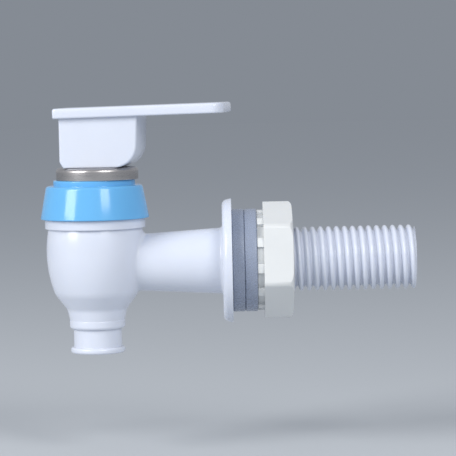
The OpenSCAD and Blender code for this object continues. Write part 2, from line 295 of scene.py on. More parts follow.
@dataclass(frozen=True)
class DrawnStainless:
    """Stainless steel sheet or wire, drawn through a die and left with its fine lines.

    The eye gets bands of light and dark from the room, broken up by lines that run round the
    piece, and a brighter line along each worked edge.
    """

    name: str = "drawn_stainless"
    colour: str = "#C9C6C4"
    worn: str = "#A8A4A3"
    gloss: float = 0.22
    dull: float = 0.38
    line_mm: float = 0.35
    stretch: float = 14.0
    line_height_mm: float = 0.006
    edge_mm: float = 0.15

    def material(self) -> bpy.types.Material:
        """Builds the shader.

        Returns:
            The finished material.
        """
        made, tree = new_material(self.name)
        place = add_node(tree, "ShaderNodeTexCoord")
        drawn = add_node(
            tree,
            "ShaderNodeMapping",
            {"Scale": (1 / self.stretch, 1 / self.stretch, 1.0)},
            {"Vector": place.outputs["Object"]},
        )
        # The real lines are a few hundredths of a millimetre apart; these are as coarse as the
        # render can show.
        lines = noise(tree, drawn.outputs["Vector"], self.line_mm, 4.0, 0.6)
        tone = two_tone(tree, lines, self.colour, self.worn)
        shine = uneven_gloss(tree, lines, self.gloss, self.dull)
        edge = add_node(tree, "ShaderNodeBevel", {"samples": 6, "Radius": self.edge_mm * MM})
        grooves = add_node(
            tree,
            "ShaderNodeBump",
            {"Strength": 1.0, "Distance": self.line_height_mm * MM},
            {"Height": lines.outputs["Fac"], "Normal": edge.outputs["Normal"]},
        )
        skin = add_node(
            tree,
            "ShaderNodeBsdfPrincipled",
            {"Metallic": 1.0, "Anisotropic": 0.4},
            {
                "Base Color": tone.outputs[2],
                "Roughness": shine.outputs["Result"],
                "Normal": grooves.outputs["Normal"],
            },
        )
        add_node(tree, "ShaderNodeOutputMaterial", {}, {"Surface": skin.outputs["BSDF"]})
        return made


@dataclass(frozen=True)
class PressMouldedSilicone:
    """Unfilled silicone rubber, pressed in a hot mould.

    The eye gets a cloudy, slightly blue see-through body that lets the white thread inside
    show as a lighter zone, with a dull gloss on the skin.
    """

    name: str = "press_moulded_silicone"
    colour: str = "#B4BED2"
    cloudy: str = "#A3AEC5"
    see_through: float = 0.35
    ior: float = 1.41
    gloss: float = 0.22
    dull: float = 0.34
    cloud_mm: float = 3.0
    skin_mm: float = 0.8
    skin_height_mm: float = 0.002

    def material(self) -> bpy.types.Material:
        """Builds the shader.

        Returns:
            The finished material.
        """
        made, tree = new_material(self.name)
        place = add_node(tree, "ShaderNodeTexCoord")
        cloud = noise(tree, place.outputs["Object"], self.cloud_mm, 3.0, 0.6)
        tint = two_tone(tree, cloud, self.colour, self.cloudy)
        grain = noise(tree, place.outputs["Object"], self.skin_mm, 3.0, 0.6)
        shine = uneven_gloss(tree, grain, self.gloss, self.dull)
        skin_bump = add_node(
            tree,
            "ShaderNodeBump",
            {"Strength": 1.0, "Distance": self.skin_height_mm * MM},
            {"Height": grain.outputs["Fac"]},
        )
        skin = add_node(
            tree,
            "ShaderNodeBsdfPrincipled",
            {"IOR": self.ior, "Transmission Weight": self.see_through},
            {
                "Base Color": tint.outputs[2],
                "Roughness": shine.outputs["Result"],
                "Normal": skin_bump.outputs["Normal"],
            },
        )
        add_node(tree, "ShaderNodeOutputMaterial", {}, {"Surface": skin.outputs["BSDF"]})
        return made


# Polypropylene with a little blue toner: a cool white whose thin edges glow.
POLYPROPYLENE = MouldedPlastic(
    name="moulded_polypropylene",
    colour="#D8DDE9",
    deep="#D2D7E3",
    gloss=0.17,
    dull=0.23,
    ior=1.49,
    glow=0.12,
    glow_mm=1.2,
)

# ABS with blue pigment: an even colour under a clear gloss, so its highlights have crisp edges.
BLUE_ABS = MouldedPlastic(
    name="moulded_blue_abs",
    colour="#6CB4E6",
    deep="#63ACE0",
    gloss=0.13,
    dull=0.18,
    ior=1.53,
    glow=0.08,
    glow_mm=1.0,
)

# Natural nylon: a neutral white with a satin skin.
NYLON = MouldedPlastic(
    name="moulded_nylon",
    colour="#DEE0E0",
    deep="#D8DADA",
    gloss=0.3,
    dull=0.4,
    ior=1.53,
    glow=0.1,
    glow_mm=1.0,
)

STAINLESS = DrawnStainless()
SILICONE = PressMouldedSilicone()


# Shapes


def arc(centre: Point, radius: float, start: float, end: float, steps: int) -> list[Point]:
    """Points of an arc.

    Args:
        centre: the arc's centre.
        radius: its radius.
        start: the angle of its first point, in degrees.
        end: the angle of its last point, in degrees.
        steps: how many chords it is drawn with.

    Returns:
        steps + 1 points.
    """
    angles = np.radians(np.linspace(start, end, steps + 1))
    return [
        (centre[0] + radius * float(np.cos(a)), centre[1] + radius * float(np.sin(a)))
        for a in angles
    ]


def rounded(corners: Sequence[Corner], steps: int = 8) -> list[Point]:
    """Closed outline with its corners rounded, by the same rule as the part's source.

    Args:
        corners: the outline's corners in order.
        steps: chords in each rounding.

    Returns:
        The outline's points, without a repeat of the first.
    """
    points: list[Point] = []
    count = len(corners)
    for i, corner in enumerate(corners):
        before, after = corners[i - 1], corners[(i + 1) % count]
        b = np.array([corner.u, corner.v])
        if corner.r <= 0:
            points.append((corner.u, corner.v))
            continue
        to_a = np.array([before.u, before.v]) - b
        to_c = np.array([after.u, after.v]) - b
        len_a, len_c = float(np.linalg.norm(to_a)), float(np.linalg.norm(to_c))
        u, v = to_a / len_a, to_c / len_c
        half = math.acos(max(-1.0, min(1.0, float(u @ v)))) / 2
        room_a = 0.49 if before.r > 0 else 0.98
        room_c = 0.49 if after.r > 0 else 0.98
        reach = min(corner.r / math.tan(half), room_a * len_a, room_c * len_c)
        fit = reach * math.tan(half)
        middle = b + (u + v) / np.linalg.norm(u + v) * fit / math.sin(half)
        p, q = (b + u * reach - middle) / fit, (b + v * reach - middle) / fit
        turn = math.pi - 2 * half
        for k in range(steps + 1):
            a = turn * k / steps
            spot = middle + fit * (math.sin(turn - a) * p + math.sin(a) * q) / math.sin(turn)
            points.append((float(spot[0]), float(spot[1])))
    return points


def subdivided(points: Sequence[Point], longest: float) -> list[Point]:
    """Splits the long straight runs of an open line.

    Args:
        points: the line's points.
        longest: the longest run that is left whole.

    Returns:
        The points with more between them.
    """
    made = [points[0]]
    for a, b in zip(points, points[1:]):
        pieces = max(1, math.ceil(math.dist(a, b) / longest))
        made += [
            (a[0] + (b[0] - a[0]) * k / pieces, a[1] + (b[1] - a[1]) * k / pieces)
            for k in range(1, pieces + 1)
        ]
    return made


def turned(outline: Sequence[Point], along: Along, at: Vector, segments: int = 128) -> bmesh.types.BMesh:
    """Turns a closed outline of (radius, height) points into a solid.

    Args:
        outline: the closed outline; points on the axis have radius 0.
        along: the axis that it is turned about.
        at: the axis' origin, in millimetres.
        segments: chords round the axis.

    Returns:
        The solid, in millimetres.
    """
    bm = bmesh.new()
    place = Matrix.Translation(at) @ along.value
    rings: list[list[bmesh.types.BMVert]] = []
    for radius, height in outline:
        if radius < 1e-6:
            rings.append([bm.verts.new(place @ Vector((0, 0, height)))])
            continue
        rings.append(
            [
                bm.verts.new(
                    place
                    @ Vector((radius * math.cos(t), radius * math.sin(t), height))
                )
                for t in (2 * math.pi * k / segments for k in range(segments))
            ]
        )
    for i, ring in enumerate(rings):
        bridge(bm, ring, rings[(i + 1) % len(rings)])
    bmesh.ops.recalc_face_normals(bm, faces=bm.faces)
    return bm


def bridge(
    bm: bmesh.types.BMesh, first: list[bmesh.types.BMVert], second: list[bmesh.types.BMVert]
) -> None:
    """Joins two closed rings, or a ring and a point, with faces.

    Args:
        bm: the mesh that holds both.
        first: one ring, or one vertex in a list.
        second: the other, with as many vertices or one.
    """
    if len(first) == 1 and len(second) == 1:
        return
    count = max(len(first), len(second))
    for k in range(count):
        n = (k + 1) % count
        quad = [first[k % len(first)], first[n % len(first)]]
        quad += [second[n % len(second)], second[k % len(second)]]
        bm.faces.new(list(dict.fromkeys(quad)))


def extruded(outline: Sequence[Point], low: float, high: float, place: Matrix) -> bmesh.types.BMesh:
    """Extrudes a closed outline of (x, y) points between two heights.

    Args:
        outline: the outline's points.
        low: the height of its lower face.
        high: the height of its upper face.
        place: where the extrusion's own axes lie in the frame.

    Returns:
        The solid, in millimetres.
    """
    bm = bmesh.new()
    rings = [[bm.verts.new(place @ Vector((u, v, h))) for u, v in outline] for h in (low, high)]
    bridge(bm, *rings)
    for ring in rings:
        bm.faces.new(ring)
    bmesh.ops.recalc_face_normals(bm, faces=bm.faces)
    return bm


def box(low: Sequence[float], high: Sequence[float], place: Matrix) -> bmesh.types.BMesh:
    """A cutter with flat sides.

    Args:
        low: its lowest corner in its own axes.
        high: its highest corner.
        place: where those axes lie in the frame.

    Returns:
        The solid, in millimetres.
    """
    outline = [(low[0], low[1]), (high[0], low[1]), (high[0], high[1]), (low[0], high[1])]
    return extruded(outline, low[2], high[2], place)


def as_object(name: str, bm: bmesh.types.BMesh) -> bpy.types.Object:
    """Turns a finished bmesh into an object, still in millimetres.

    Args:
        name: the object's name.
        bm: the mesh, which is freed.

    Returns:
        The object, linked to the scene.
    """
    mesh = bpy.data.meshes.new(name)
    bm.to_mesh(mesh)
    bm.free()
    made = bpy.data.objects.new(name, mesh)
    bpy.context.scene.collection.objects.link(made)
    return made


def worked(target: bpy.types.Object, tool: bmesh.types.BMesh, how: Join) -> None:
    """Works one solid into another, as a union, a cut or what they share.

    Args:
        target: the object that changes, in millimetres.
        tool: the other solid, which is used up.
        how: the way of joining.
    """
    other = as_object("tool", tool)
    step = target.modifiers.new(how.name, "BOOLEAN")
    step.operation = how.value
    step.solver = "MANIFOLD"
    step.object = other
    depsgraph = bpy.context.evaluated_depsgraph_get()
    result = bpy.data.meshes.new_from_object(target.evaluated_get(depsgraph))
    target.modifiers.clear()
    old, target.data = target.data, result
    bpy.data.meshes.remove(old)
    bpy.data.meshes.remove(other.data)


def finished(
    made: bpy.types.Object,
    node: str,
    body: str,
    material: bpy.types.Material,
    crease_deg: float = 35.0,
) -> bpy.types.Object:
    """Turns a piece to metres, shades and dresses it, and hands it to its body.

    Args:
        made: the piece, in millimetres.
        node: the CAD node that it stands for.
        body: the body that it rides on.
        material: its finish.
        crease_deg: the angle from which an edge stays sharp.

    Returns:
        The same piece.
    """
    mesh = made.data
    mesh.transform(Matrix.Scale(MM, 4))
    mesh.materials.clear()
    mesh.materials.append(material)
    mesh.polygons.foreach_set("use_smooth", [True] * len(mesh.polygons))
    mesh.set_sharp_from_angle(angle=math.radians(crease_deg))
    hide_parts(node)
    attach(made, body)
    LOG.info("%s: %d faces, stands for %s on %s", made.name, len(mesh.polygons), node, body)
    return made


def dressed(frame: dict[str, Any], nodes: Sequence[str], material: bpy.types.Material) -> None:
    """Gives CAD nodes whose shape is right their finish.

    Args:
        nodes: the nodes' names.
        material: the finish.
    """
    for name in nodes:
        mesh = frame["nodes"][name].data
        mesh.materials.clear()
        mesh.materials.append(material)
        LOG.info("%s: CAD node in %s", name, material.name)


@dataclass(frozen=True)
class Thread:
    """A single-start right-hand thread along the shank.

    The form runs from one root to the next, as (share of the pitch, share of the depth).
    """

    root_r: float
    depth: float
    pitch: float = 2.0
    around: int = 96
    form: tuple[Point, ...] = (
        (0.0, 0.0),
        (0.08, 0.0),
        (0.16, 0.03),
        (0.24, 0.33),
        (0.32, 0.68),
        (0.40, 0.9),
        (0.48, 0.985),
        (0.52, 1.0),
        (0.60, 0.985),
        (0.68, 0.94),
        (0.74, 0.87),
        (0.82, 0.62),
        (0.90, 0.28),
        (0.95, 0.08),
    )

    def rod(self, start: float, end: float) -> bmesh.types.BMesh:
        """The threaded rod between two places on the shank's axis.

        Args:
            start: x of its first end.
            end: x of its cut end.

        Returns:
            The solid, in millimetres.
        """
        bm = bmesh.new()
        first = math.floor(start / self.pitch) - 2
        turns = math.ceil(end / self.pitch) + 1 - first
        profile = [
            (first + n + place, self.root_r + self.depth * share)
            for n in range(turns)
            for place, share in self.form
        ]
        profile.append((float(first + turns), self.root_r))
        columns = []
        for k in range(self.around):
            a = 2 * math.pi * k / self.around
            columns.append(
                [
                    bm.verts.new(
                        (
                            self.pitch * (place + k / self.around),
                            radius * math.sin(a),
                            -radius * math.cos(a),
                        )
                    )
                    for place, radius in profile
                ]
            )
        per_turn = len(self.form)
        for k in range(self.around):
            here = columns[k]
            there = columns[(k + 1) % self.around]
            shift = per_turn if k == self.around - 1 else 0
            for j in range(len(profile) - 1 - shift):
                bm.faces.new((here[j], here[j + 1], there[j + 1 + shift], there[j + shift]))
        for x, outward in ((start, -1.0), (end, 1.0)):
            bmesh.ops.bisect_plane(
                bm,
                geom=[*bm.verts, *bm.edges, *bm.faces],
                plane_co=(x, 0, 0),
                plane_no=(outward, 0, 0),
                clear_outer=True,
            )
        bmesh.ops.holes_fill(bm, edges=[e for e in bm.edges if e.is_boundary], sides=0)
        bmesh.ops.recalc_face_normals(bm, faces=bm.faces)
        return bm


# The tap


@dataclass
class ValveBody:
    """The white moulding: rim band, bulb, spout, barrel, flange and threaded shank."""

    reach: float = 34.0
    neck_r: float = 10.5
    neck_top: float = 16.5
    rim_r: float = 12.5
    rim_top: float = 11.3
    rim_low: float = 8.9
    bulb_r: float = 12.27
    bulb_mid: float = 3.0
    bulb_curve: float = 30.0
    cone_deg: float = 37.0
    waist_r: float = 7.45
    waist_z: float = -11.4
    bead_r: float = 6.93
    bead_top: float = -14.1
    bead_low: float = -16.1
    spout_r: float = 6.0
    spout_low: float = -22.25
    lip_r: float = 6.8
    lip_h: float = 1.45
    chamber_r: float = 8.2
    chamber_low: float = -6.5
    seat_z: float = -5.45
    seat_w: float = 0.9
    outlet_r: float = 4.2
    inlet_r: float = 4.5
    barrel_inner_x: float = -30.0
    barrel_inner_r: float = 6.65
    barrel_r: float = 8.25
    flange_r: float = 15.5
    flange_t: float = 2.4
    flange_round: float = 3.0
    shank_len: float = 45.6
    thread_start: float = 0.8
    relief: float = 0.15
    fillet: float = 1.1
    port_half_deg: float = 47.8
    port_low: float = -10.2
    thread_root_r: float = 6.85
    thread_depth: float = 1.15
    around: int = 128
    lookup_spare: int = 20
    skin_z: np.ndarray = field(init=False)
    skin_r: np.ndarray = field(init=False)

    def profile(self) -> list[Point]:
        """Outside of the turned valve body, from the neck's top to the spout's mouth.

        Returns:
            (radius, height) points about the valve's axis.
        """
        middle = (self.bulb_r - self.bulb_curve, self.bulb_mid)
        top = math.degrees(math.asin((self.rim_low - self.bulb_mid) / self.bulb_curve))
        low = -self.cone_deg / 2
        side = arc(middle, self.bulb_curve, top, low, 48)
        end = side[-1]
        lean, cone = math.tan(math.radians(-low)), math.tan(math.radians(self.cone_deg))
        knee_z = (self.waist_r - self.waist_z * cone - end[0] + end[1] * lean) / (lean - cone)
        knee_r = self.waist_r + (knee_z - self.waist_z) * cone
        lower = rounded(
            [
                Corner(*end),
                Corner(knee_r, knee_z, 6.0),
                Corner(self.waist_r, self.waist_z, 2.5),
                Corner(self.waist_r - 0.6, self.bead_top),
                Corner(self.bead_r, self.bead_top, 0.5),
                Corner(self.bead_r, self.bead_low, 0.8),
                Corner(self.spout_r, self.bead_low - 0.2),
                Corner(self.spout_r, self.spout_low + self.lip_h),
                Corner(self.lip_r, self.spout_low + self.lip_h, 0.6),
                Corner(self.lip_r, self.spout_low, 0.5),
                Corner(0.0, self.spout_low),
            ]
        )
        upper = rounded(
            [
                Corner(0.0, self.neck_top),
                Corner(self.neck_r, self.neck_top, 0.2),
                Corner(self.neck_r, self.rim_top),
                Corner(self.rim_r, self.rim_top, 0.15),
                Corner(self.rim_r, self.rim_low, 0.15),
                Corner(*side[0]),
            ],
            4,
        )
        return upper[:-1] + side + lower[1:]

    def build(self, finish: bpy.types.Material) -> bpy.types.Object:
        """Builds the moulding with its water ways.

        Args:
            finish: its material.

        Returns:
            The finished piece.
        """
        made = as_object("tap_body_moulding", self._outside())
        thread = Thread(self.thread_root_r, self.thread_depth)
        worked(made, thread.rod(self.thread_start, self.shank_len), Join.ADD)
        worked(made, self._chamber(), Join.CUT)
        way = [(0.0, -self.reach), (self.inlet_r, -self.reach), (self.inlet_r, self.shank_len + OVER)]
        way.append((0.0, self.shank_len + OVER))
        worked(made, turned(way, Along.SHANK, Vector(), 96), Join.CUT)
        return finished(made, "tap_body", "root", finish)

    def _outside(self) -> bmesh.types.BMesh:
        """The outside as one closed skin, with a fillet where the barrel leaves the bulb.

        Returns:
            The solid, in millimetres.
        """
        bm = bmesh.new()
        outline = self.profile()
        start = max(
            i
            for i, (radius, z) in enumerate(outline)
            if radius < self.rim_r - 0.05 and -1e-6 <= z - self.rim_low < 0.01
        )
        stop = next(i for i, p in enumerate(outline) if p[1] < self.bead_top - 0.01)
        outline = outline[:start] + subdivided(outline[start:stop], 0.5) + outline[stop:]
        rs, zs = np.array(outline[start : stop + self.lookup_spare]).T
        order = np.argsort(zs)
        self.skin_z, self.skin_r = zs[order], rs[order]
        half = round(self.port_half_deg * self.around / 360)
        end = min(
            (i for i, p in enumerate(outline) if i > start and p[1] < self.bead_top + 4),
            key=lambda i: abs(outline[i][1] - self.port_low),
        )
        rings: list[list[bmesh.types.BMVert]] = []
        for radius, height in outline:
            if radius < 1e-6:
                rings.append([bm.verts.new((-self.reach, 0, height))])
                continue
            angles = (2 * math.pi * k / self.around for k in range(self.around))
            rings.append(
                [
                    bm.verts.new((radius * math.cos(a) - self.reach, radius * math.sin(a), height))
                    for a in angles
                ]
            )
        for i in range(len(rings) - 1):
            if not start <= i < end:
                bridge(bm, rings[i], rings[i + 1])
                continue
            for k in range(half, self.around - half):
                n = (k + 1) % self.around
                bm.faces.new((rings[i][k], rings[i][n], rings[i + 1][n], rings[i + 1][k]))
        columns = [(k % self.around) for k in range(-half, half + 1)]
        loop = [rings[start][k] for k in columns]
        loop += [rings[i][half] for i in range(start + 1, end)]
        loop += [rings[end][k] for k in reversed(columns)]
        loop += [rings[i][(-half) % self.around] for i in range(end - 1, start, -1)]
        self._barrel(bm, loop)
        bmesh.ops.remove_doubles(bm, verts=bm.verts, dist=1e-5)
        bmesh.ops.recalc_face_normals(bm, faces=bm.faces)
        return bm

    def _bulb_x(self, s: float, cosine: float, sine: float) -> float:
        """x of the bulb's surface at distance s from the shank's axis, in one direction."""
        radius = float(np.interp(s * sine, self.skin_z, self.skin_r))
        return math.sqrt(max(0.0, radius**2 - (s * cosine) ** 2)) - self.reach

    def _barrel_r(self, x: float) -> float:
        """Radius of the tapered barrel at x."""
        share = (x - self.barrel_inner_x) / (-self.flange_t - self.barrel_inner_x)
        return self.barrel_inner_r + share * (self.barrel_r - self.barrel_inner_r)

    def _fillet(self, cosine: float, sine: float, steps: int = 6) -> list[Point]:
        """Section of the fillet in one plane through the shank's axis.

        Args:
            cosine: the plane's direction along Y.
            sine: its direction along Z.
            steps: chords in the fillet.

        Returns:
            (x, distance from the axis) points, from the bulb's surface to the barrel's.
        """
        reach = np.linspace(self.barrel_inner_r, self.barrel_r + 2 * self.fillet, 240)
        skin = np.array([(self._bulb_x(s, cosine, sine), s) for s in reach])
        low, high = float(skin[:, 0].min()), float(skin[:, 0].max()) + 3 * self.fillet
        for _ in range(40):
            x = (low + high) / 2
            centre = np.array([x, self._barrel_r(x) + self.fillet])
            gap = np.hypot(*(skin - centre).T).min()
            low, high = (x, high) if gap < self.fillet else (low, x)
        nearest = skin[int(np.hypot(*(skin - centre).T).argmin())]
        a1 = math.atan2(nearest[1] - centre[1], nearest[0] - centre[0])
        a0 = -math.pi / 2
        a1 = a1 - 2 * math.pi if a1 > 0 else a1
        return [
            (
                float(centre[0]) + self.fillet * math.cos(a1 + (a0 - a1) * k / steps),
                float(centre[1]) + self.fillet * math.sin(a1 + (a0 - a1) * k / steps),
            )
            for k in range(steps + 1)
        ]

    def _barrel(self, bm: bmesh.types.BMesh, loop: list[bmesh.types.BMVert]) -> None:
        """Runs from a gap in the bulb's skin to the end of the shank's relief.

        Args:
            bm: the mesh that holds the bulb.
            loop: the gap's vertices in order.
        """
        flange = rounded(
            [
                Corner(self.barrel_inner_r, self.barrel_inner_x),
                Corner(self.barrel_r, -self.flange_t, 0.8),
                Corner(self.flange_r - 0.5, -self.flange_t, self.flange_round),
                Corner(self.flange_r, 0.0, 0.1),
                Corner(self.thread_root_r - self.relief, 0.0),
                Corner(self.thread_root_r - self.relief, 2 * self.thread_start),
            ]
        )[1:]
        rays = []
        for vertex in loop:
            _, y, z = vertex.co
            s = math.hypot(y, z)
            cosine, sine = y / s, z / s
            fillet = self._fillet(cosine, sine)
            foot = fillet[0][1]
            skin = [foot + (s - foot) * k / 5 for k in range(1, 5)]
            run = [(self._bulb_x(r, cosine, sine), r) for r in reversed(skin)] + fillet
            tangent = fillet[-1][0]
            ends = np.linspace(tangent, -self.flange_t - 0.8, 7)[1:]
            run += [(float(x), self._barrel_r(float(x))) for x in ends]
            run += [(x, r) for r, x in flange]
            rays.append([bm.verts.new((x, r * cosine, r * sine)) for x, r in run])
        rings = [loop, *[list(ring) for ring in zip(*rays)]]
        for first, second in zip(rings, rings[1:]):
            bridge(bm, first, second)
        bm.faces.new(rings[-1])

    def _chamber(self) -> bmesh.types.BMesh:
        """The valve chamber, its seat and the outlet's bore, as one cutter."""
        mouth = self.spout_low
        outline = [
            (0.0, self.neck_top + OVER),
            (self.chamber_r, self.neck_top + OVER),
            (self.chamber_r, self.chamber_low),
            (self.outlet_r + self.seat_w, self.chamber_low),
            (self.outlet_r + self.seat_w, self.seat_z),
            (self.outlet_r, self.seat_z),
            (self.outlet_r, mouth + 0.5),
            (self.outlet_r + 0.6, mouth - 0.1),
            (0.0, mouth - 0.1),
        ]
        return turned(outline, Along.VALVE, Vector((-self.reach, 0, 0)), 96)


@dataclass
class Headworks:
    """The blue bonnet, the steel cap ring and what works inside them."""

    reach: float = 34.0
    guide_r: float = 3.05
    socket_r: float = 10.55
    web_z: float = 18.0
    seat_z: float = 11.3
    bonnet_r: float = 13.55
    shoulder_r: float = 12.0
    shoulder_z: float = 19.5
    collar_r: float = 10.2
    collar_z: float = 20.9
    boss_r: float = 8.7
    boss_z: float = 23.4
    cap_r: float = 10.25
    cap_z: float = 24.0
    cap_sheet: float = 0.6
    cap_hole_r: float = 4.2
    cap_shift: float = 0.8

    def build(
        self,
        frame: dict[str, Any],
        plastic: bpy.types.Material,
        steel: bpy.types.Material,
        body_plastic: bpy.types.Material,
        silicone: bpy.types.Material,
    ) -> list[bpy.types.Object]:
        """Builds the two outer pieces and dresses the inner ones.

        Args:
            plastic: the bonnet's finish.
            steel: the finish of the ring, spring, slip washer and pin.
            body_plastic: the stem's finish.
            silicone: the seat cup's finish.

        Returns:
            The bonnet and the cap ring.
        """
        dressed(frame, ["spring_washer", "spring", "cross_pin"], steel)
        dressed(frame, ["stem"], body_plastic)
        dressed(frame, ["seat_cup"], silicone)
        return [self._bonnet(plastic), self._cap_ring(steel)]

    def _bonnet(self, finish: bpy.types.Material) -> bpy.types.Object:
        """The conical cap that closes the valve chamber.

        Args:
            finish: its material.

        Returns:
            The finished piece.
        """
        outline = rounded(
            [
                Corner(self.socket_r, self.seat_z),
                Corner(self.bonnet_r, self.seat_z, 0.2),
                Corner(self.shoulder_r, self.shoulder_z, 0.8),
                Corner(self.collar_r, self.shoulder_z),
                Corner(self.collar_r, self.collar_z, 0.2),
                Corner(self.boss_r, self.collar_z),
                Corner(self.boss_r, self.boss_z, 0.4),
                Corner(self.guide_r, self.boss_z),
                Corner(self.guide_r, self.web_z),
                Corner(self.socket_r, self.web_z),
            ]
        )
        made = as_object("bonnet_moulding", turned(outline, Along.VALVE, Vector((-self.reach, 0, 0)), 160))
        return finished(made, "bonnet", "root", finish)

    def _cap_ring(self, finish: bpy.types.Material) -> bpy.types.Object:
        """The pressed ring that the lever's cam bears on.

        Args:
            finish: its material.

        Returns:
            The finished piece.
        """
        inner = self.cap_r - self.cap_sheet
        outline = rounded(
            [
                Corner(self.cap_hole_r, self.boss_z),
                Corner(self.cap_hole_r, self.cap_z, 0.2),
                Corner(self.cap_r, self.cap_z, 1.0),
                Corner(self.cap_r, self.collar_z, 0.15),
                Corner(inner, self.collar_z, 0.15),
                Corner(inner, self.boss_z, 0.4),
            ]
        )
        place = Vector((self.cap_shift - self.reach, 0, 0))
        made = as_object("cap_ring_pressing", turned(outline, Along.VALVE, place, 160))
        return finished(made, "cap_ring", "root", finish)


@dataclass
class Lever:
    """The paddle and its cam block, one white moulding."""

    reach: float = 34.0
    pin_z: float = 29.05
    yaw_deg: float = -7.7
    paddle_reach: float = 33.9
    paddle_back: float = 8.53
    paddle_w: float = 18.0
    paddle_t: float = 2.5
    paddle_rise_deg: float = 1.0
    paddle_corner: float = 3.0
    paddle_back_corner: float = 0.8
    paddle_low_edge: float = 0.4
    paddle_top_edge: float = 0.6
    block_h: float = 12.4
    block_w: float = 15.2
    block_back: float = 7.2
    block_front: float = 12.4
    cam_r: float = 5.7
    cam_flat: float = 6.4
    latch_r: float = 7.95
    pin_h: float = 5.0
    pin_r: float = 1.5
    pin_len: float = 13.0
    pocket_r: float = 3.9
    pocket_wall: float = 2.0
    pocket_top: float = 4.6
    slot_r: float = 3.4
    socket_gap: float = 0.05
    socket_room: float = 0.4
    snap_lip: float = 0.2
    edge: float = 0.45

    def build(self, finish: bpy.types.Material) -> bpy.types.Object:
        """Builds the lever.

        Args:
            finish: its material.

        Returns:
            The finished piece.
        """
        place = Matrix.Translation((-self.reach, 0, self.pin_z))
        place = place @ Matrix.Rotation(math.radians(self.yaw_deg), 4, "Z")
        made = as_object("lever_moulding", self._block(place))
        worked(made, self._paddle(place), Join.ADD)
        inner = self.block_back - self.pocket_wall
        floor = -self.pin_h - OVER
        pocket = box(
            (-inner, -self.pocket_r, floor),
            (self.cam_flat - 0.1, self.pocket_r, self.pocket_top),
            place,
        )
        worked(made, pocket, Join.CUT)
        slot = box((-self.block_back - OVER, -self.slot_r, floor), (-inner + 0.5, self.slot_r, 0), place)
        worked(made, slot, Join.CUT)
        across = place @ Along.SHANK.value
        hole = arc((0.0, 0.0), self.slot_r, 0, 360, 64)[:-1]
        worked(made, extruded(hole, -self.block_back - OVER, -inner + 0.5, across), Join.CUT)
        half = self.pin_len / 2 + self.socket_room
        sideways = place @ Matrix.Rotation(math.radians(90), 4, "X")
        pin = arc((0.0, 0.0), self.pin_r + self.socket_gap, 0, 360, 48)[:-1]
        worked(made, extruded(pin, -half, half, sideways), Join.CUT)
        mouth = self.pin_r - self.snap_lip
        worked(made, box((-mouth, -half, floor), (mouth, half, -0.5), place), Join.CUT)
        return finished(made, "lever", "lever", finish)

    def _block(self, place: Matrix) -> bmesh.types.BMesh:
        """The cam block, with the edges of its two cheeks rounded.

        Args:
            place: where the cross pin's axes lie in the frame.

        Returns:
            The solid, in millimetres.
        """
        top = self.block_h - self.pin_h + self.paddle_t / 2
        cam = (self.cam_flat, self.cam_r - self.pin_h)
        to_top = (self.block_front - cam[0], self.block_h - self.pin_h - cam[1])
        side = math.degrees(math.atan2(to_top[1], to_top[0])) - math.degrees(
            math.acos(self.cam_r / math.hypot(*to_top))
        )
        latch_low = 180 + math.degrees(math.asin(self.pin_h / self.latch_r))
        latch_high = 180 + math.degrees(math.acos(self.block_back / self.latch_r))
        outline = [
            (-self.block_back, top),
            *arc((0.0, 0.0), self.latch_r, latch_high, latch_low, 6),
            *arc(cam, self.cam_r, -90, side, 24),
            (self.block_front, self.block_h - self.pin_h),
            (self.block_front, top),
        ]
        sideways = place @ Matrix.Rotation(math.radians(90), 4, "X")
        bm = extruded(outline, -self.block_w / 2, self.block_w / 2, sideways)
        cheeks = [f for f in bm.faces if len(f.verts) > 4]
        rims = list(dict.fromkeys(e for f in cheeks for e in f.edges))
        bmesh.ops.bevel(bm, geom=rims, offset=self.edge, segments=4, profile=0.5, affect="EDGES")
        return bm

    def _paddle(self, place: Matrix) -> bmesh.types.BMesh:
        """The paddle, rounded in plan and along its upper and lower edges.

        Args:
            place: where the cross pin's axes lie in the frame.

        Returns:
            The solid, in millimetres.
        """
        wide = self.paddle_w / 2
        plan = rounded(
            [
                Corner(-self.paddle_back, -wide, self.paddle_back_corner),
                Corner(self.paddle_reach, -wide, self.paddle_corner),
                Corner(self.paddle_reach, wide, self.paddle_corner),
                Corner(-self.paddle_back, wide, self.paddle_back_corner),
            ],
            12,
        )
        lift = Matrix.Translation((0, 0, self.block_h - self.pin_h))
        lift = place @ lift @ Matrix.Rotation(-math.radians(self.paddle_rise_deg), 4, "Y")
        bm = extruded(plan, 0, self.paddle_t, lift)
        flats = [f for f in bm.faces if len(f.verts) > 4]
        flats.sort(key=lambda f: f.calc_center_median().z)
        low, high = list(flats[0].edges), list(flats[-1].edges)
        for rim, offset in ((low, self.paddle_low_edge), (high, self.paddle_top_edge)):
            left = [e for e in rim if e.is_valid]
            bmesh.ops.bevel(bm, geom=left, offset=offset, segments=4, profile=0.5, affect="EDGES")
        return bm


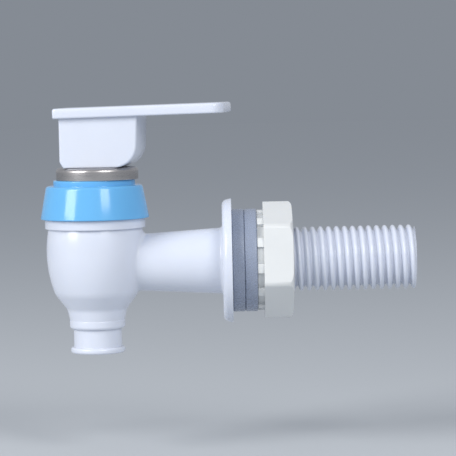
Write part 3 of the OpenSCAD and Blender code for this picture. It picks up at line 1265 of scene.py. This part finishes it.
@dataclass
class TankFixing:
    """The two silicone washers and the hexagon back nut on the shank."""

    washer_r: float = 12.8
    washer_t: float = 3.05
    bore_r: float = 8.3
    gap: float = 0.05
    hex_d: float = 29.6
    hex_t: float = 7.5
    hex_round: float = 1.5
    collar_t: float = 1.6
    collar_r: float = 12.5
    teeth: int = 12
    tooth_w: float = 2.4
    tooth_depth: float = 0.8
    turn_deg: float = 9.1
    crown_r: float = 8.9
    crown_drop: float = 0.4
    crown_round: float = 1.5
    thread_root_r: float = 7.15
    thread_depth: float = 1.15
    sink_narrow: float = 7.7
    sink_wide: float = 9.7

    def build(self, rubber: bpy.types.Material, nylon: bpy.types.Material) -> list[bpy.types.Object]:
        """Builds the washers and the nut.

        Args:
            rubber: the washers' finish.
            nylon: the nut's finish.

        Returns:
            The three pieces.
        """
        outer = self.washer_t + self.gap
        return [
            self._washer("inner_washer", "root", 0.0, rubber),
            self._washer("outer_washer", "clamp_washer", outer, rubber),
            self._nut(outer + self.washer_t + self.gap, nylon),
        ]

    def _washer(self, node: str, body: str, x: float, finish: bpy.types.Material) -> bpy.types.Object:
        """One flat washer.

        Args:
            node: the CAD node that it stands for.
            body: the body that it rides on.
            x: where its front face lies.
            finish: its material.

        Returns:
            The finished piece.
        """
        outline = rounded(
            [
                Corner(self.bore_r, 0.0, 0.2),
                Corner(self.washer_r, 0.0, 0.4),
                Corner(self.washer_r, self.washer_t, 0.4),
                Corner(self.bore_r, self.washer_t, 0.2),
            ]
        )
        made = as_object(f"{node}_rubber", turned(outline, Along.SHANK, Vector((x, 0, 0)), 128))
        return finished(made, node, body, finish)

    def _nut(self, x: float, finish: bpy.types.Material) -> bpy.types.Object:
        """The hexagon with its toothed collar and its own thread.

        Args:
            x: where the collar's front face lies.
            finish: its material.

        Returns:
            The finished piece.
        """
        hex_x = x + self.collar_t
        end = hex_x + self.hex_t
        place = Matrix.Translation((hex_x, 0, 0)) @ Along.SHANK.value
        place = place @ Matrix.Rotation(-math.radians(self.turn_deg), 4, "Z")
        corners = [
            Corner(
                self.hex_d / 2 * math.cos(math.radians(60 * k)),
                self.hex_d / 2 * math.sin(math.radians(60 * k)),
                self.hex_round,
            )
            for k in range(6)
        ]
        made = as_object("back_nut_moulding", extruded(rounded(corners), 0, self.hex_t, place))
        rim = self.hex_d / 2 - 0.1
        dome = rounded(
            [
                Corner(0.0, 0.0),
                Corner(rim, 0.0),
                Corner(rim, self.hex_t - self.crown_drop, self.crown_round),
                Corner(self.crown_r, self.hex_t),
                Corner(0.0, self.hex_t),
            ]
        )
        worked(made, turned(dome, Along.SHANK, Vector((hex_x, 0, 0)), 160), Join.KEEP_SHARED)
        worked(made, self._collar(x), Join.ADD)
        thread = Thread(self.thread_root_r, self.thread_depth)
        worked(made, thread.rod(x - OVER, end + OVER), Join.CUT)
        for face, low, high in (
            (x, self.sink_wide, self.sink_narrow),
            (end, self.sink_narrow, self.sink_wide),
        ):
            sink = [(0.0, face - OVER), (low, face - OVER), (high, face + OVER), (0.0, face + OVER)]
            worked(made, turned(sink, Along.SHANK, Vector(), 96), Join.CUT)
        return finished(made, "back_nut", "back_nut", finish)

    def _collar(self, x: float) -> bmesh.types.BMesh:
        """The collar that bears on the washer, with teeth round it.

        Args:
            x: where its front face lies.

        Returns:
            The solid, in millimetres.
        """
        root = self.collar_r - self.tooth_depth
        outline: list[Point] = []
        for k in range(self.teeth):
            middle = 360 * (k + 0.5) / self.teeth
            half = math.degrees(math.asin(self.tooth_w / 2 / self.collar_r))
            outline += arc((0.0, 0.0), self.collar_r, middle - half, middle + half, 3)
            outline += arc((0.0, 0.0), root, middle + half, middle + 360 / self.teeth - half, 5)
        place = Matrix.Translation((x, 0, 0)) @ Along.SHANK.value
        place = place @ Matrix.Rotation(-math.radians(self.turn_deg), 4, "Z")
        return extruded(outline, 0, self.collar_t + 0.5, place)


# The studio


@dataclass(frozen=True)
class Softbox:
    """One rectangular studio light, aimed at the tap."""

    name: str
    azimuth_deg: float
    elevation_deg: float
    distance_mm: float
    wide_mm: float
    tall_mm: float
    watts: float
    colour: str

    def light(self, aim: Vector) -> None:
        """Hangs the light.

        Args:
            aim: the point that it faces, in metres.
        """
        a, e = math.radians(self.azimuth_deg), math.radians(self.elevation_deg)
        back = Vector((math.sin(a) * math.cos(e), -math.cos(a) * math.cos(e), math.sin(e)))
        lamp = bpy.data.lights.new(self.name, "AREA")
        lamp.shape = "RECTANGLE"
        lamp.size, lamp.size_y = self.wide_mm * MM, self.tall_mm * MM
        lamp.energy = self.watts
        lamp.color = linear(self.colour)[:3]
        made = bpy.data.objects.new(self.name, lamp)
        bpy.context.scene.collection.objects.link(made)
        made.location = aim + back * self.distance_mm * MM
        made.rotation_mode = "QUATERNION"
        made.rotation_quaternion = (-back).to_track_quat("-Z", "Y")


@dataclass
class Studio:
    """A pale floor, soft light and the camera at the photograph's angle."""

    floor_z: float = -48.0
    floor_half: float = 4000.0
    floor_colour: str = "#C2C6CA"
    world_colour: str = "#DADFE8"
    world_strength: float = 0.62
    centre: tuple[float, float, float] = (-0.92, 0.0, 8.1)
    distance: float = 620.0
    elevation_deg: float = 3.57
    roll_deg: float = 1.25
    focal_px: float = 2486.0
    sensor_mm: float = 36.0

    def build(self) -> None:
        """Builds the floor, the light and the camera."""
        self._floor()
        self._light()
        self._camera()

    def _floor(self) -> None:
        """A plain matt floor."""
        bm = bmesh.new()
        half = self.floor_half
        corners = ((-half, -half), (half, -half), (half, half), (-half, half))
        bm.faces.new([bm.verts.new((x, y, self.floor_z)) for x, y in corners])
        bm.transform(Matrix.Scale(MM, 4))
        floor = as_object("floor", bm)
        material, tree = new_material("matt_paper_floor")
        paper = add_node(tree, "ShaderNodeBsdfDiffuse", {"Color": linear(self.floor_colour)})
        add_node(tree, "ShaderNodeOutputMaterial", {}, {"Surface": paper.outputs["BSDF"]})
        floor.data.materials.append(material)

    def _light(self) -> None:
        """An even room and two softboxes, which give the body its two upright highlights."""
        world = bpy.data.worlds.new("room")
        bpy.context.scene.world = world
        world.use_nodes = True
        world.node_tree.nodes.clear()
        tree = world.node_tree
        air, paper = linear(self.world_colour), linear(self.floor_colour)
        far_floor = (*(a * b for a, b in zip(air[:3], paper[:3])), 1.0)
        room, backdrop = (
            add_node(tree, "ShaderNodeBackground", {"Color": c, "Strength": self.world_strength})
            for c in (air, far_floor)
        )
        seen = add_node(tree, "ShaderNodeLightPath")
        either = add_node(
            tree,
            "ShaderNodeMixShader",
            {},
            {0: seen.outputs["Is Camera Ray"], 1: room.outputs[0], 2: backdrop.outputs[0]},
        )
        add_node(tree, "ShaderNodeOutputWorld", {}, {"Surface": either.outputs["Shader"]})
        aim = Vector((-20.0, 0.0, 5.0)) * MM
        for box_light in (
            Softbox("left_softbox", -54.0, 27.0, 900.0, 380.0, 560.0, 5.6, "#FFFFFF"),
            Softbox("front_softbox", 27.0, 32.0, 900.0, 300.0, 500.0, 3.4, "#FFFFFF"),
        ):
            box_light.light(aim)

    def _camera(self) -> None:
        """The photograph's camera: level with the tap and a little above it."""
        scene = bpy.context.scene
        lens = bpy.data.cameras.new("camera")
        lens.sensor_width = self.sensor_mm
        lens.lens = self.focal_px / PHOTO_SIDE_PX * self.sensor_mm
        lens.clip_start, lens.clip_end = 0.01, 20.0
        camera = bpy.data.objects.new("camera", lens)
        scene.collection.objects.link(camera)
        e = math.radians(self.elevation_deg)
        back = Vector((0.0, -math.cos(e), math.sin(e)))
        camera.location = (Vector(self.centre) + back * self.distance) * MM
        camera.rotation_mode = "QUATERNION"
        level = (-back).to_track_quat("-Z", "Y")
        camera.rotation_quaternion = level @ Quaternion((0, 0, 1), -math.radians(self.roll_deg))
        scene.camera = camera
        scene.view_settings.view_transform = "Standard"


def main() -> None:
    """Builds the tap and its studio."""
    logging.basicConfig(level=logging.INFO, format="%(name)s: %(message)s")
    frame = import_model()
    white = POLYPROPYLENE.material()
    steel = STAINLESS.material()
    rubber = SILICONE.material()
    ValveBody().build(white)
    Headworks().build(frame, BLUE_ABS.material(), steel, white, rubber)
    Lever().build(white)
    TankFixing().build(rubber, NYLON.material())
    Studio().build()


if __name__ == "__main__":
    main()
